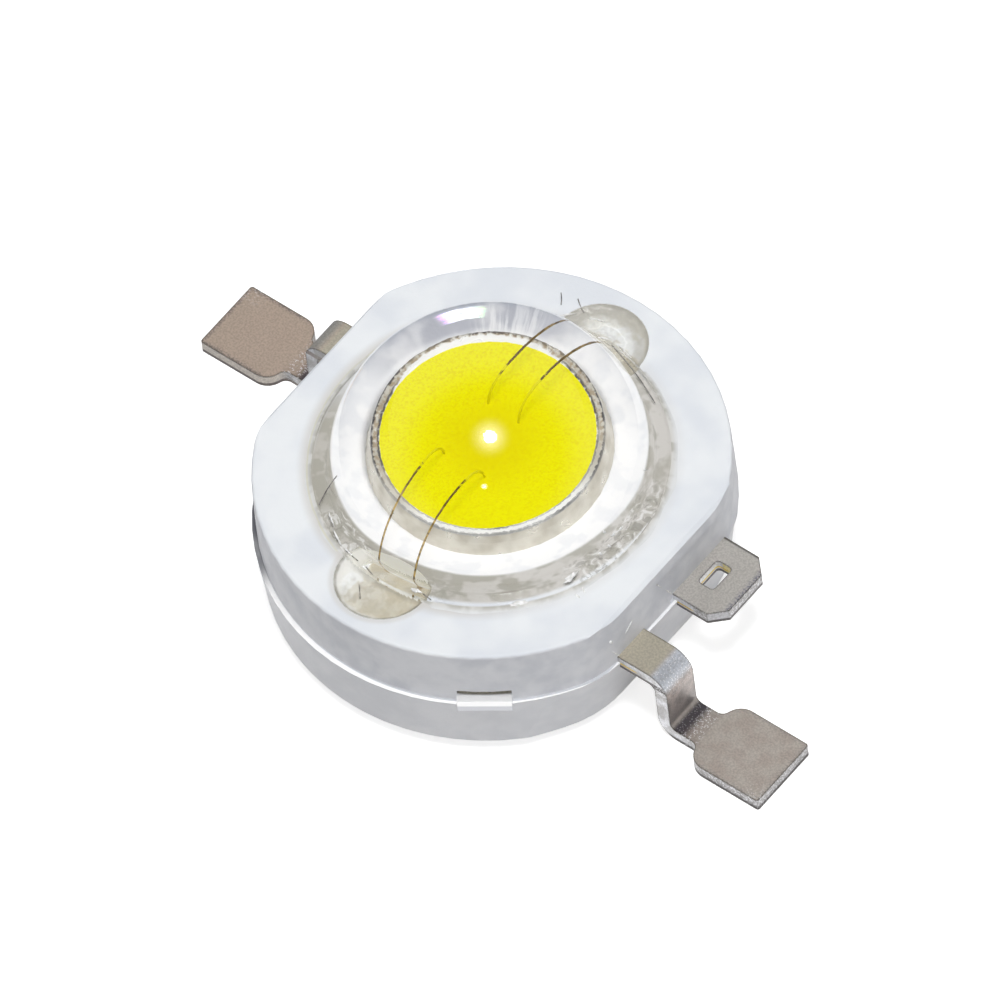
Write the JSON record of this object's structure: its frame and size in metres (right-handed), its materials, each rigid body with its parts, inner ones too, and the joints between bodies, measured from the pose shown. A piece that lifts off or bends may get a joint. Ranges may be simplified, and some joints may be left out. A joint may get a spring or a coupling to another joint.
{
  "type": "high power led",
  "caption": "Lensed power light emitting diode: white round body with flats, heat slug cup with yellow phosphor, clear dome and gull-wing leads.",
  "frame": {"origin": "on the board plane, under the centre of the round body", "axes": "+X towards the lead beside the slotted tab, +Y through a bonding pocket, +Z out of the lens"},
  "size_m": [0.0132, 0.0079, 0.005],
  "materials": {
    "white_moulding": "matt white moulded polyphthalamide, slightly cool",
    "plated_slug": "turned copper under bright silver plating",
    "plated_lead": "stamped copper alloy strip under satin silver plating, gold tinted at the roots",
    "silver_paste": "silver filled epoxy",
    "chip": "polished semiconductor chip",
    "phosphor": "yellow phosphor powder in silicone, finely speckled",
    "gold_wire": "drawn gold wire",
    "clear_silicone": "clear silicone gel",
    "clear_lens": "clear moulded optical plastic, polished"
  },
  "bodies": {
    "root": {"body": "white_moulding", "heat_slug": "plated_slug", "lead_anode": "plated_lead", "lead_cathode": "plated_lead", "die_attach": "silver_paste", "led_chip": "chip", "phosphor": "phosphor", "bond_wire_1": "gold_wire", "bond_wire_2": "gold_wire", "bond_wire_3": "gold_wire", "bond_wire_4": "gold_wire", "silicone_gel": "clear_silicone", "lens": "clear_lens"}
  },
  "joints": []
}
